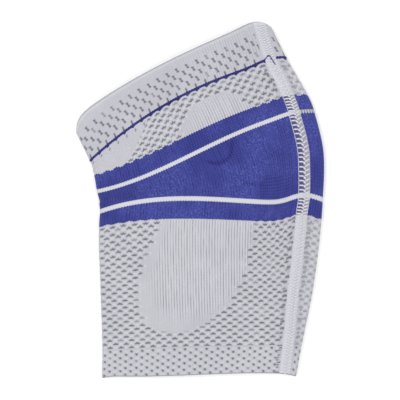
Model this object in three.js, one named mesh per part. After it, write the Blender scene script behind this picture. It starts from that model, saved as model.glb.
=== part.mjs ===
// Knitted knee sleeve, lying flat on its side, in millimetres with +Z up.
//
// The sleeve is one flattened tube of thick elastic knit. Its shape is a stack of courses, the knitted
// rows, from the calf rim to the thigh rim. Each course is a chord across the flat sleeve that is moved,
// turned and bowed, and a flattened section stands on it: the back lies on the table, the front is
// crowned, and both sides are round folds. The knitted zones are rings cut from that tube between two
// courses, and the flat-lock seam is a tape that lies on the front.
//
// The origin is on the table under the middle of the sleeve's outline. +Y points from the calf to the
// thigh, +X to the convex side of the knee.

import * as THREE from 'three';

// Driving sizes of the whole sleeve.
const SLEEVE_LENGTH = 250;
const KNEE_WIDTH = 179;
const KNEE_HEIGHT = 21;
const KNEE_BEND = THREE.MathUtils.degToRad(28.5);
const WALL = 2.4;
const FOLD_HEIGHT = 8;

// Knitted trim, the seam tape, and the clearance between two pieces.
const STRIPE_WIDTH = 2.9;
const LINE_WIDTH = 1.9;
const SEAM_WIDTH = 9;
const SEAM_THICKNESS = 1.1;
const SEAM_INSET = 18;
const CLEARANCE = 0.3;

// The oval of smooth ribbed knit that stands over the knee pad: it leans to the convex side, and the
// knee band draws it in to a waist.
const OVAL_LENGTH = 171;
const OVAL_WIDTH = 89;
const OVAL_RISE = 1.2;
const OVAL_POWER = 2.6;
const OVAL_MIDDLE_SHARE = 0.48;
const OVAL_SIDE_SHARE = -0.013;
const OVAL_LEAN_SHARE = 0.32;
const OVAL_WAIST = { depth: 0.17, reach: 0.12 };
const OVAL_EDGE = { inner: 0.85, outer: 1.1 };

// The long soft dent in the calf, beside the seam.
const DENT_DEPTH = 1.6;
const DENT_WIDTH = 7;
const DENT_MIDDLE_SHARE = 0.4;
const DENT_LENGTH_SHARE = 0.2;

// How full the front's arch is, how tight the rims' rounded corners are, and how far a pucker reaches.
const ARCH_POWER = 2.6;
const CORNER_POWER = 16;
const PUCKER_REACH = 15;

const GREY = 0xc9cad1;
const BLUE = 0x3a3f96;
const WHITE = 0xdcdce4;
const KNIT_ROUGHNESS = 0.95;

// The courses that shape the sleeve, from the calf rim to the thigh rim.
//   step    way up the middle line from the course before, a share of SLEEVE_LENGTH
//   lean    heading of that way, positive to the left, a share of KNEE_BEND
//   tilt    slope of the course, rising to the right, a share of KNEE_BEND
//   width   share of KNEE_WIDTH
//   bow     rise of the course's middle, and skew its rise on the right, shares of KNEE_WIDTH
//   pucker  how far the seam draws the course up, a share of KNEE_WIDTH
//   corner  how far the course falls back at the two folds, a share of KNEE_WIDTH
//   crown   height of the front above the table, a share of KNEE_HEIGHT
//   inset   way from the right fold to the middle of the seam, a share of SEAM_INSET
const COLUMNS = [
  ...['name', 'step', 'lean', 'tilt', 'width'],
  ...['bow', 'skew', 'pucker', 'corner', 'crown', 'inset'],
];
const COURSES = [
  ['calf_rim', 0, 0, 0.016, 0.852, 0.002, 0.014, 0, 0.012, 0.66, 0.63],
  ['cuff_top', 0.088, -0.23, 0.045, 0.876, 0.007, 0, 0.002, 0, 0.7, 0.72],
  ['mid_calf', 0.188, -0.17, 0.038, 0.936, 0.009, -0.004, 0.012, 0, 0.84, 0.98],
  ['band_bottom', 0.1985, -0.1, 0.045, 0.977, 0.024, -0.026, 0.034, 0, 0.95, 1],
  ['low_stripe', 0.055, -0.13, 0.08, 0.979, 0.035, -0.042, 0.036, 0, 1, 0.94],
  ['knee', 0.08, -0.04, 0.38, 1.004, 0.024, 0.006, 0.02, 0, 1, 0.99],
  ['high_stripe', 0.0965, 0.41, 0.71, 1.016, 0.013, 0.052, 0.009, 0, 0.95, 0.98],
  ['band_top', 0.052, 0.57, 0.715, 1.001, 0.024, 0.044, 0.011, 0, 0.9, 0.94],
  ['cuff_line', 0.09, 0.92, 0.96, 0.973, 0.067, 0, 0.017, 0, 0.78, 0.77],
  ['thigh_rim', 0.142, 0.93, 0.98, 0.974, 0.033, -0.01, 0.01, 0.053, 0.7, 0.52],
];

// The knitted zones: each runs between two courses, or is a stripe of its own width on one course.
const ZONES = [
  { name: 'calf_cuff', from: 'calf_rim', to: 'cuff_top', colour: GREY },
  { name: 'calf_panel', from: 'cuff_top', to: 'band_bottom', colour: GREY },
  { name: 'knee_band_lower', from: 'band_bottom', to: 'low_stripe', colour: BLUE },
  { name: 'stripe_lower', from: 'low_stripe', to: 'low_stripe', colour: WHITE },
  { name: 'knee_band_middle', from: 'low_stripe', to: 'high_stripe', colour: BLUE },
  { name: 'stripe_upper', from: 'high_stripe', to: 'high_stripe', colour: WHITE },
  { name: 'knee_band_upper', from: 'high_stripe', to: 'band_top', colour: BLUE },
  { name: 'thigh_panel', from: 'band_top', to: 'cuff_line', colour: GREY },
  { name: 'cuff_line', from: 'cuff_line', to: 'cuff_line', colour: BLUE },
  { name: 'thigh_cuff', from: 'cuff_line', to: 'thigh_rim', colour: GREY },
];
const TRIM_WIDTH = { low_stripe: STRIPE_WIDTH, high_stripe: STRIPE_WIDTH, cuff_line: LINE_WIDTH };
const RIMS = ['calf_rim', 'thigh_rim'];

// Facets: round each quarter of a fold, across the front and the back, and along the sleeve.
const FOLD_STEPS = 3;
const FRONT_STEPS = 22;
const BACK_STEPS = 10;
const ROW_LENGTH = 7;
const SEAM_STEPS = 6;

const foldRadius = FOLD_HEIGHT / 2;
const foldQuarter = (Math.PI * foldRadius) / 2;

// Works out where each course lies: its middle in plan and its place along the middle line.
function placeCourses() {
  let x = 0;
  let y = 0;
  let along = 0;
  return COURSES.map((row) => {
    const course = Object.fromEntries(COLUMNS.map((column, index) => [column, row[index]]));
    const heading = course.lean * KNEE_BEND;
    const step = course.step * SLEEVE_LENGTH;
    x -= step * Math.sin(heading);
    y += step * Math.cos(heading);
    along += step;
    return {
      name: course.name,
      along,
      x,
      y,
      tilt: course.tilt * KNEE_BEND,
      half: (course.width * KNEE_WIDTH) / 2,
      bow: course.bow * KNEE_WIDTH,
      skew: course.skew * KNEE_WIDTH,
      pucker: course.pucker * KNEE_WIDTH,
      corner: course.corner * KNEE_WIDTH,
      crown: course.crown * KNEE_HEIGHT,
      inset: course.inset * SEAM_INSET,
    };
  });
}

const placed = placeCourses();
const sleeveEnd = placed.at(-1).along;
const courseNamed = (name) => placed.find((course) => course.name === name);

// Slope of one column at a course, limited so that the curve through the courses never overshoots.
function slopeAt(index, key) {
  const change = (low, high, name) => placed[high][name] - placed[low][name];
  const slopeTo = (low, high) => change(low, high, key) / change(low, high, 'along');
  if (index === 0) return slopeTo(0, 1);
  if (index === placed.length - 1) return slopeTo(index - 1, index);
  const before = slopeTo(index - 1, index);
  const after = slopeTo(index, index + 1);
  return before * after <= 0 ? 0 : (2 * before * after) / (before + after);
}

// One column of the table at any place along the sleeve, as a smooth curve through the courses.
function columnAt(along, key) {
  let index = 0;
  while (index < placed.length - 2 && along > placed[index + 1].along) index += 1;
  const [low, high] = placed.slice(index, index + 2);
  const span = high.along - low.along;
  const share = (along - low.along) / span;
  const [square, cube] = [share ** 2, share ** 3];
  return (
    (2 * cube - 3 * square + 1) * low[key] +
    (cube - 2 * square + share) * span * slopeAt(index, key) +
    (3 * square - 2 * cube) * high[key] +
    (cube - square) * span * slopeAt(index + 1, key)
  );
}

// The flattened section at a place along the sleeve: every column, and the half of the way round it.
function sectionAt(along) {
  const section = { along };
  for (const key of Object.keys(placed[0]).slice(2)) section[key] = columnAt(along, key);
  section.flat = section.half - foldRadius;
  section.halfRound = 2 * foldQuarter + 2 * section.flat;
  return section;
}

const bell = (distance, reach) => Math.exp(-((distance / reach) ** 2));

// How far out a point of the front is from the oval's middle: 1 on its outline, less inside it.
function fromOval(across, up) {
  const fromMiddle = up - OVAL_MIDDLE_SHARE;
  const middle = (OVAL_SIDE_SHARE + OVAL_LEAN_SHARE * fromMiddle) * KNEE_WIDTH;
  const half = (OVAL_WIDTH / 2) * (1 - OVAL_WAIST.depth * bell(fromMiddle, OVAL_WAIST.reach));
  const upShare = Math.abs((fromMiddle * sleeveEnd) / (OVAL_LENGTH / 2));
  const acrossShare = Math.abs((across - middle) / half);
  return (upShare ** OVAL_POWER + acrossShare ** OVAL_POWER) ** (1 / OVAL_POWER);
}

// How far the front stands above the folds: the arch, the oval over its pad, and the dent by the seam.
function frontRise(across, run, section) {
  const arch = (section.crown - FOLD_HEIGHT) * (1 - Math.abs(across / section.flat) ** ARCH_POWER);
  const up = section.along / sleeveEnd;
  const outwards = THREE.MathUtils.smoothstep(fromOval(across, up), OVAL_EDGE.inner, OVAL_EDGE.outer);
  const beside = bell(run - (section.inset + SEAM_WIDTH / 2 + DENT_WIDTH), DENT_WIDTH);
  const dent = DENT_DEPTH * beside * bell(up - DENT_MIDDLE_SHARE, DENT_LENGTH_SHARE);
  return arch + OVAL_RISE * (1 - outwards) - dent;
}

// A point of the sleeve's outside. The run is the way round from the middle of the right fold, positive
// over the front and negative along the table, so the left fold's middle is at plus or minus halfRound.
function outsidePoint(anyRun, along) {
  const section = sectionAt(along);
  const { flat, halfRound } = section;
  const run = anyRun > halfRound ? anyRun - 2 * halfRound : anyRun;
  const side = run < 0 ? -1 : 1;
  const fromRight = Math.abs(run);
  const fromLeft = halfRound - fromRight;
  let across = flat - (fromRight - foldQuarter);
  let height = side > 0 ? FOLD_HEIGHT + frontRise(across, run, section) : 0;
  if (Math.min(fromRight, fromLeft) < foldQuarter) {
    const angle = Math.min(fromRight, fromLeft) / foldRadius;
    across = (flat + foldRadius * Math.cos(angle)) * (fromRight < fromLeft ? 1 : -1);
    height = foldRadius + side * foldRadius * Math.sin(angle);
  }
  const share = across / section.half;
  const lift =
    section.bow * (1 - share ** 2) +
    section.skew * share * (1 - share ** 2) +
    section.pucker * bell(run - section.inset, PUCKER_REACH) -
    section.corner * share ** CORNER_POWER;
  const turned = new THREE.Vector2(across, lift).rotateAround(new THREE.Vector2(), section.tilt);
  return new THREE.Vector3(section.x + turned.x, section.y + turned.y, height);
}

// The outward normal at a point, and how far apart the courses lie there for each step along the sleeve.
const PROBE = 0.05;

function surfaceAt(run, along) {
  const low = Math.max(0, along - PROBE);
  const high = Math.min(sleeveEnd, along + PROBE);
  const up = outsidePoint(run, high).sub(outsidePoint(run, low));
  const round = outsidePoint(run + PROBE, along).sub(outsidePoint(run - PROBE, along));
  const cross = up.cross(round);
  const spacing = cross.length() / round.length() / (high - low);
  return { normal: cross.normalize(), spacing };
}

// The ways round at which a section is cut, from the right fold over the front and back along the table.
function runsRound({ flat, halfRound }) {
  const over = (steps) => {
    const share = (count) => Array.from({ length: count }, (_, index) => index / count);
    return [
      ...share(FOLD_STEPS).map((part) => foldQuarter * part),
      ...share(steps).map((part) => foldQuarter + 2 * flat * part),
      ...share(FOLD_STEPS).map((part) => foldQuarter + 2 * flat + foldQuarter * part),
    ];
  };
  const back = over(BACK_STEPS).slice(1).map((run) => -run).reverse();
  return [...over(FRONT_STEPS), halfRound, ...back];
}

// A mesh of its own knit colour from a list of points and the triangles between them.
function meshFrom(points, triangles, name, colour) {
  const geometry = new THREE.BufferGeometry();
  const positions = points.flatMap((point) => point.toArray());
  geometry.setAttribute('position', new THREE.Float32BufferAttribute(positions, 3));
  geometry.setIndex(triangles);
  geometry.computeVertexNormals();
  const finish = { color: colour, roughness: KNIT_ROUGHNESS, metalness: 0 };
  const material = new THREE.MeshStandardMaterial(finish);
  const mesh = new THREE.Mesh(geometry, material);
  mesh.name = name;
  return mesh;
}

// How far a zone's edge lies from its course: half a trim's width, and half the clearance beside it.
function edgeShift(zone, end) {
  if (RIMS.includes(zone[end])) return 0;
  const halfTrim = (TRIM_WIDTH[zone[end]] ?? 0) / 2;
  const outwards = end === 'to' ? 1 : -1;
  const isTrim = zone.from === zone.to;
  return isTrim ? outwards * (halfTrim - CLEARANCE / 2) : -outwards * (halfTrim + CLEARANCE / 2);
}

// Where a zone's edge lies along the sleeve, at each way round its course.
function edgeAlong(zone, end) {
  const { along } = courseNamed(zone[end]);
  const shift = edgeShift(zone, end);
  return runsRound(sectionAt(along)).map((run) => along + shift / surfaceAt(run, along).spacing);
}

// One knitted zone: a ring of wall between two courses.
function knittedZone(zone) {
  const [lows, highs] = [edgeAlong(zone, 'from'), edgeAlong(zone, 'to')];
  const stations = lows.length;
  const length = Math.max(...highs.map((high, station) => high - lows[station]));
  const rows = Math.ceil(length / ROW_LENGTH);
  const points = [];
  for (let row = 0; row <= rows; row += 1) {
    const outer = lows.map((low, station) => {
      const along = THREE.MathUtils.lerp(low, highs[station], row / rows);
      const run = runsRound(sectionAt(along))[station];
      return { point: outsidePoint(run, along), normal: surfaceAt(run, along).normal };
    });
    points.push(...outer.map(({ point }) => point));
    points.push(...outer.map(({ point, normal }) => point.clone().addScaledVector(normal, -WALL)));
  }
  const outerAt = (row, station) => row * 2 * stations + (station % stations);
  const innerAt = (row, station) => outerAt(row, station) + stations;
  const triangles = [];
  const quad = (a, b, c, d) => triangles.push(a, b, c, a, c, d);
  for (let i = 0; i < stations; i += 1) {
    for (let row = 0; row < rows; row += 1) {
      quad(outerAt(row, i), outerAt(row + 1, i), outerAt(row + 1, i + 1), outerAt(row, i + 1));
      quad(innerAt(row, i), innerAt(row, i + 1), innerAt(row + 1, i + 1), innerAt(row + 1, i));
    }
    quad(outerAt(0, i), outerAt(0, i + 1), innerAt(0, i + 1), innerAt(0, i));
    quad(outerAt(rows, i), innerAt(rows, i), innerAt(rows, i + 1), outerAt(rows, i + 1));
  }
  return meshFrom(points, triangles, zone.name, zone.colour);
}

// The flat-lock seam: a low domed tape on the front, a clearance above the knit, from rim to rim.
const SEAM_EDGE_DROP = 0.6;

function seamTape() {
  const rows = Math.ceil(sleeveEnd / ROW_LENGTH);
  const loop = 2 * (SEAM_STEPS + 1);
  const points = [];
  for (let row = 0; row <= rows; row += 1) {
    const along = THREE.MathUtils.lerp(CLEARANCE, sleeveEnd - CLEARANCE, row / rows);
    const { inset } = sectionAt(along);
    const tapePoint = (step, thickness) => {
      const share = (2 * step) / SEAM_STEPS - 1;
      const run = inset + (share * SEAM_WIDTH) / 2;
      const rise = CLEARANCE + thickness * (1 - SEAM_EDGE_DROP * share ** 4);
      return outsidePoint(run, along).addScaledVector(surfaceAt(run, along).normal, rise);
    };
    for (let step = 0; step <= SEAM_STEPS; step += 1) points.push(tapePoint(step, 0));
    for (let step = SEAM_STEPS; step >= 0; step -= 1) points.push(tapePoint(step, SEAM_THICKNESS));
  }
  const triangles = [];
  for (let row = 0; row < rows; row += 1) {
    for (let i = 0; i < loop; i += 1) {
      const [a, b] = [row * loop + i, row * loop + ((i + 1) % loop)];
      triangles.push(a, b, b + loop, a, b + loop, a + loop);
    }
  }
  for (let step = 0; step < SEAM_STEPS; step += 1) {
    const over = loop - 1 - step;
    const cap = [step, over, over - 1, step, over - 1, step + 1];
    triangles.push(...cap, ...cap.map((corner) => corner + rows * loop).reverse());
  }
  return meshFrom(points, triangles, 'side_seam', WHITE);
}

const kneeSleeve = new THREE.Group();
for (const zone of ZONES) kneeSleeve.add(knittedZone(zone));
kneeSleeve.add(seamTape());

// The origin goes under the middle of the outline.
const middle = new THREE.Box3().setFromObject(kneeSleeve).getCenter(new THREE.Vector3());
kneeSleeve.position.set(-middle.x, -middle.y, 0);

export default kneeSleeve;
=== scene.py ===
# %% [markdown]
# # A knitted knee sleeve, lying flat
#
# The real thing is one tube of thick elastic knit, closed by a flat-lock seam. A machine knits it course by
# course, and changes yarn and stitch on the way: an eyelet cuff, an eyelet panel, a dense blue knee band
# with two white stripes, a smooth ribbed oval over the pad, and a slit cuff that ends in a plain rim.
#
# A sculpted or simulated mesh could give the outline, but the knit has to follow the courses and the
# wales, the rows and columns of stitches. So the whole sleeve is one function of two numbers, the wale and
# the place along the sleeve, and every zone is a dense grid of it with its own relief.

# %% Load the frame
import math

import bpy
import numpy as np
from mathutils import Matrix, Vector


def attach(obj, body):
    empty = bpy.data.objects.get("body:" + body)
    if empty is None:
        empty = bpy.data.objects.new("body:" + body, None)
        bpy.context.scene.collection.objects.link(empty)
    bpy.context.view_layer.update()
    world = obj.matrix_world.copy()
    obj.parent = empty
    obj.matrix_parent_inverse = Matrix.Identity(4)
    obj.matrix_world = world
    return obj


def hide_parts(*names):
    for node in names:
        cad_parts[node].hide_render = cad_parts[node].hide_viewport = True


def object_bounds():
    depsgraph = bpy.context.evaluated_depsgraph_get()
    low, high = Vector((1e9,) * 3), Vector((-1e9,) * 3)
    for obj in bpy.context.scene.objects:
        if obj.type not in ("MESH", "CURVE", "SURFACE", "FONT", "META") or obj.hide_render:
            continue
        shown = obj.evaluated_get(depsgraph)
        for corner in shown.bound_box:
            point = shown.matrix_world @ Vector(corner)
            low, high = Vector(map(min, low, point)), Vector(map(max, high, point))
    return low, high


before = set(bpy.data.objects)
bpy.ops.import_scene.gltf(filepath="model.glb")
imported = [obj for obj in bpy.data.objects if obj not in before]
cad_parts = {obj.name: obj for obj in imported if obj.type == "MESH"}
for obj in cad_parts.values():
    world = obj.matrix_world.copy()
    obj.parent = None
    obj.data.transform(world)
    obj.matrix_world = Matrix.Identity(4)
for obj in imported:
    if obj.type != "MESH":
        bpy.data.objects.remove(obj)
cad_box = [list(corner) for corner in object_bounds()]
MM = 0.001
print("frame:", len(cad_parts), "nodes, box in mm", [[round(v / MM, 1) for v in c] for c in cad_box])

# %% [markdown]
# ## The courses
#
# Each row below is one knitted course that shapes the sleeve. It is a chord across the flat tube that is
# moved, turned and bowed. These are the same shares that the construction uses, so the skin lies where the
# frame's walls are. A cage of control points would be quicker to push around, but it would not keep the
# stitches in line.

# %% The table of courses
SLEEVE_LENGTH = 250
KNEE_WIDTH = 179
KNEE_HEIGHT = 21
KNEE_BEND = math.radians(28.5)
WALL = 2.4
FOLD_HEIGHT = 8
STRIPE_WIDTH = 2.9
LINE_WIDTH = 1.9
SEAM_WIDTH = 9
SEAM_INSET = 18

COLUMNS = ("step", "lean", "tilt", "width", "bow", "skew", "pucker", "corner", "crown", "inset")
COURSES = {
    "calf_rim": (0, 0, 0.016, 0.852, 0.002, 0.014, 0, 0.012, 0.66, 0.63),
    "cuff_top": (0.088, -0.23, 0.045, 0.876, 0.007, 0, 0.002, 0, 0.7, 0.72),
    "mid_calf": (0.188, -0.17, 0.038, 0.936, 0.009, -0.004, 0.012, 0, 0.84, 0.98),
    "band_bottom": (0.1985, -0.1, 0.045, 0.977, 0.024, -0.026, 0.034, 0, 0.95, 1),
    "low_stripe": (0.055, -0.13, 0.08, 0.979, 0.035, -0.042, 0.036, 0, 1, 0.94),
    "knee": (0.08, -0.04, 0.38, 1.004, 0.024, 0.006, 0.02, 0, 1, 0.99),
    "high_stripe": (0.0965, 0.41, 0.71, 1.016, 0.013, 0.052, 0.009, 0, 0.95, 0.98),
    "band_top": (0.052, 0.57, 0.715, 1.001, 0.024, 0.044, 0.011, 0, 0.9, 0.94),
    "cuff_line": (0.09, 0.92, 0.96, 0.973, 0.067, 0, 0.017, 0, 0.78, 0.77),
    "thigh_rim": (0.142, 0.93, 0.98, 0.974, 0.033, -0.01, 0.01, 0.053, 0.7, 0.52),
}
NAMED_SIZE = {"width": KNEE_WIDTH / 2, "crown": KNEE_HEIGHT, "inset": SEAM_INSET, "tilt": KNEE_BEND}

share = {name: np.array([row[i] for row in COURSES.values()]) for i, name in enumerate(COLUMNS)}
steps = share["step"] * SLEEVE_LENGTH
headings = share["lean"] * KNEE_BEND
courses_at = np.cumsum(steps)
sleeve_end = courses_at[-1]
placed = {name: share[name] * NAMED_SIZE.get(name, KNEE_WIDTH) for name in COLUMNS[2:]}
placed["x"] = np.cumsum(-steps * np.sin(headings))
placed["y"] = np.cumsum(steps * np.cos(headings))
where = dict(zip(COURSES, courses_at))
print("middle line:", round(sleeve_end, 1), "mm,", len(COURSES), "courses")

# %% [markdown]
# ## The tube as a function
#
# Between the courses every column runs along a cubic whose slopes are limited, so it never overshoots. A
# point of the outside is then found from its way round the tube (the run, in mm from the right fold) and
# its place along it. Arrays go in and arrays come out, so half a million points take a moment.

# %% The outside of the tube
OVAL_LENGTH = 171
OVAL_WIDTH = 89
OVAL_RISE = 1.2
OVAL_POWER = 2.6
OVAL_MIDDLE = 0.48
OVAL_SIDE = -0.013
OVAL_LEAN = 0.32
WAIST_DEPTH = 0.17
WAIST_REACH = 0.12
OVAL_EDGE = (0.85, 1.1)
DENT_DEPTH = 1.6
DENT_WIDTH = 7
DENT_MIDDLE = 0.4
DENT_LENGTH = 0.2
ARCH_POWER = 2.6
CORNER_POWER = 16
PUCKER_REACH = 15
fold_radius = FOLD_HEIGHT / 2
fold_quarter = math.pi * fold_radius / 2


def column_at(along, name):
    """A column of the table at any place: a cubic between two courses, with harmonic-mean slopes."""
    values = placed[name]
    rates = np.diff(values) / np.diff(courses_at)
    product = rates[:-1] * rates[1:]
    safe = np.where(product > 0, rates[:-1] + rates[1:], 1)
    slopes = np.concatenate([rates[:1], np.where(product > 0, 2 * product / safe, 0), rates[-1:]])
    low = np.clip(np.searchsorted(courses_at, along, side="right") - 1, 0, len(courses_at) - 2)
    span = courses_at[low + 1] - courses_at[low]
    t = (along - courses_at[low]) / span
    return (
        (2 * t**3 - 3 * t**2 + 1) * values[low]
        + (t**3 - 2 * t**2 + t) * span * slopes[low]
        + (3 * t**2 - 2 * t**3) * values[low + 1]
        + (t**3 - t**2) * span * slopes[low + 1]
    )


def section_at(along):
    """Every column at once, with the flat half width and half of the way round."""
    section = {name: column_at(along, name) for name in placed}
    section["flat"] = section["width"] - fold_radius
    section["half_round"] = 2 * fold_quarter + 2 * section["flat"]
    return section


def bell(distance, reach):
    """A soft hump: e to the minus square of distance over reach."""
    return np.exp(-((distance / reach) ** 2))


def smooth(value, low, high):
    """0 below low, 1 above high, and the cubic 3t^2 - 2t^3 between."""
    t = np.clip((value - low) / (high - low), 0, 1)
    return t * t * (3 - 2 * t)


def oval_distance(across, along):
    """How far out of the oval a point is, 1 on its outline: the 2.6-norm of its way up and across, each over
    the oval's half size. The middle leans with the way up, and a bell draws the sides in to a waist."""
    up = along / sleeve_end - OVAL_MIDDLE
    middle = (OVAL_SIDE + OVAL_LEAN * up) * KNEE_WIDTH
    half = OVAL_WIDTH / 2 * (1 - WAIST_DEPTH * bell(up, WAIST_REACH))
    up_share = np.abs(up * sleeve_end / (OVAL_LENGTH / 2))
    across_share = np.abs((across - middle) / half)
    return (up_share**OVAL_POWER + across_share**OVAL_POWER) ** (1 / OVAL_POWER)


def front_rise(across, run, along, section):
    """Height of the front over the folds: the arch, plus the oval's pad, less the long dent."""
    arch = (section["crown"] - FOLD_HEIGHT) * (1 - np.abs(across / section["flat"]) ** ARCH_POWER)
    oval = OVAL_RISE * (1 - smooth(oval_distance(across, along), *OVAL_EDGE))
    beside = bell(run - section["inset"] - SEAM_WIDTH / 2 - DENT_WIDTH, DENT_WIDTH)
    dent = DENT_DEPTH * beside * bell(along / sleeve_end - DENT_MIDDLE, DENT_LENGTH)
    return arch + oval - dent


def outside(run, along):
    """The tube's outside in mm. The section is a flat back, a round fold on either side and an arched
    front; it is then lifted by bow, skew, pucker and corner, turned by the tilt and moved into place."""
    section = section_at(along)
    flat, half_round = section["flat"], section["half_round"]
    run = np.where(run > half_round, run - 2 * half_round, run)
    side = np.where(run < 0, -1.0, 1.0)
    from_right = np.abs(run)
    from_left = half_round - from_right
    across = flat - (from_right - fold_quarter)
    height = np.where(side > 0, FOLD_HEIGHT + front_rise(across, run, along, section), 0.0)
    nearest = np.minimum(from_right, from_left)
    angle = nearest / fold_radius
    in_fold = nearest < fold_quarter
    fold_across = (flat + fold_radius * np.cos(angle)) * np.where(from_right < from_left, 1, -1)
    across = np.where(in_fold, fold_across, across)
    height = np.where(in_fold, fold_radius * (1 + side * np.sin(angle)), height)
    part = across / section["width"]
    lift = (
        section["bow"] * (1 - part**2)
        + section["skew"] * part * (1 - part**2)
        + section["pucker"] * bell(run - section["inset"], PUCKER_REACH)
        - section["corner"] * part**CORNER_POWER
    )
    cos, sin = np.cos(section["tilt"]), np.sin(section["tilt"])
    x = section["x"] + across * cos - lift * sin
    y = section["y"] + across * sin + lift * cos
    return np.stack([x, y, height], axis=-1)


every_run, every_along = np.meshgrid(np.linspace(-180, 180, 181), np.linspace(0, sleeve_end, 161))
corners = outside(every_run, every_along).reshape(-1, 3)
own_middle = (corners.min(0) + corners.max(0)) / 2
frame_middle = (np.array(cad_box[0]) + np.array(cad_box[1])) / 2 / MM
SHIFT = np.array([frame_middle[0] - own_middle[0], frame_middle[1] - own_middle[1], 0])
print("shift onto the frame, mm:", np.round(SHIFT, 2))

# %% [markdown]
# ## Wales
#
# A wale is one needle's column of stitches. The grid's own columns spread evenly between the seam and the
# left fold, four to a wale or more, fine enough to carry a rib or an eyelet as real relief; on the table
# side one to a wale is plenty. The stitches are counted apart from them, from the left fold. There are 80
# over the thigh and fewer over the calf, because the seam was cut on a slant and takes wales away, and
# beside the seam under the knee they are packed closer.

# %% Wales round the tube
FRONT_WALES = 80
BACK_WALES = 100
FOLD_WALES = 10
FINE = 4
CALF_WALES = 70
PANEL_WALES = 74
PACKED = {"wales": 26, "from": 0.7, "to": 0.87}


def grid_turns():
    """The way round at each grid column: 1 at the left fold, 0 at the seam, and on round the back to -1."""
    front = np.arange(FRONT_WALES, -FOLD_WALES, -1 / FINE)
    table = np.arange(-FOLD_WALES, FOLD_WALES - BACK_WALES, -1.0)
    left_fold = np.arange(FOLD_WALES - BACK_WALES, -BACK_WALES - 0.01, -1 / FINE)
    wales = np.concatenate([front, table, left_fold])
    return wales / np.where(wales >= 0, FRONT_WALES, BACK_WALES)


def run_of(turn, along):
    """The way round in mm from the right fold, along the front or back by even shares."""
    inset = column_at(along, "inset")
    half_round = 2 * fold_quarter + 2 * (column_at(along, "width") - fold_radius)
    return inset + turn * np.where(turn >= 0, half_round - inset, half_round + inset)


def wale_at(turn, along):
    """The wale's number: an even count from the left fold, plus the ones packed in beside the seam."""
    over_calf = smooth(along, where["cuff_top"], where["band_bottom"])
    over_knee = smooth(along, where["low_stripe"], where["band_top"])
    even = CALF_WALES + (PANEL_WALES - CALF_WALES) * over_calf + (FRONT_WALES - PANEL_WALES) * over_knee
    from_fold = 1 - turn
    reach = PACKED["to"] - PACKED["from"]
    t = np.clip((from_fold - PACKED["from"]) / reach, 0, 1)
    packed = reach * (t**3 - t**4 / 2) + np.maximum(from_fold - PACKED["to"], 0)
    extra = PACKED["wales"] * over_calf * (1 - over_knee) * packed
    return np.where(turn >= 0, FRONT_WALES - even * from_fold - extra, turn * BACK_WALES)


def across_of(run, along):
    """Signed distance from the middle of the section to a point of the front."""
    half_width = column_at(along, "width")
    return half_width - fold_radius - (run - fold_quarter)


TURNS = grid_turns()
print("grid columns:", len(TURNS) - 1)

# %% [markdown]
# ## Eyelets and slits
#
# The open stitches show as small dark marks. In the panels they are crown-shaped dashes, in the calf cuff
# round dots, and in the thigh cuff leaning slits with a waist. Each is a mask from 0 to 1 on the wale and
# a row count: the mask sinks the skin, and the material paints the shade of the hollow into the yarn's
# colour, so shape and colour always agree. An image would do it too, but it could not follow the stitches
# round the folds.
#
# No two stitches are quite alike, so a hash of the cell gives each mark its own strength and a small nudge.

# %% Marks of the open stitches
MARK_REPEAT = 4
SLIT_LEAN = 0.6


def chance(a, b):
    """A repeatable number from 0 to 1 for a pair of whole numbers: the fraction of a large sine."""
    return np.mod(np.sin(a * 12.9898 + b * 78.233) * 43758.5453, 1)


def cell(wale, row):
    """The place in a staggered cell: wales and rows from its middle (up positive), and the cell's numbers."""
    index = np.floor(row)
    shifted = wale + MARK_REPEAT / 2 * (index % 2)
    column = np.floor(shifted / MARK_REPEAT)
    x = shifted - (column + 0.5) * MARK_REPEAT + 0.25 * (chance(column, index) - 0.5)
    y = row - index - 0.5 + 0.14 * (chance(index, column) - 0.5)
    return x, y, column, index


def strength(column, index):
    """How open a mark is: mostly well open, a few nearly closed."""
    return 0.6 + 0.4 * smooth(chance(column + 7, index + 3), 0.0, 0.35)


def crown_marks(wale, row):
    """A flat dash with a bump on its middle, once in each cell."""
    x, y, column, index = cell(wale, row)
    dash = (1 - smooth(np.abs(x), 0.75, 1.25)) * (1 - smooth(np.abs(y + 0.14), 0.1, 0.26))
    bump = (1 - smooth(np.abs(x), 0.15, 0.65)) * (1 - smooth(np.abs(y - 0.1), 0.1, 0.28))
    return np.clip(dash + 0.8 * bump, 0, 1) * strength(column, index)


def bright_loops(wale, row):
    """The full loops between the dashes of a row, which catch the light."""
    x, y, _, _ = cell(wale, row)
    return bell(2 - np.abs(x), 0.75) * bell(y + 0.05, 0.3)


def dot_marks(wale, row):
    """A round dot with a short tail up and to the left."""
    x, y, column, index = cell(wale, row)
    dot = 1 - smooth(np.hypot(x * 1.8, y * 2.5), 0.45, 1.1)
    tail = 1 - smooth(np.hypot((x - 0.45) * 2.4, (y - 0.25) * 3.0), 0.35, 1.1)
    return np.clip(dot + 0.5 * tail, 0, 1) * strength(column, index)


def slit_marks(wale, row):
    """A leaning slit with a waist: its half width grows with the distance from its middle."""
    x, y, column, index = cell(wale, row)
    half_width = 0.06 + 0.65 * np.abs(y) ** 1.3
    slit = 1 - smooth(np.abs(x - SLIT_LEAN * y), half_width, half_width + 0.45)
    return slit * (1 - smooth(np.abs(y), 0.4, 0.5)) * strength(column, index)


def tick_marks(wale, row, reach):
    """A thin upright tick on every fourth wale, from row 0 up to its reach."""
    x = wale % MARK_REPEAT - MARK_REPEAT / 2
    return (1 - smooth(np.abs(x), 0.15, 0.5)) * (1 - smooth(row, reach - 0.25, reach)) * (row >= 0)


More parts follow.
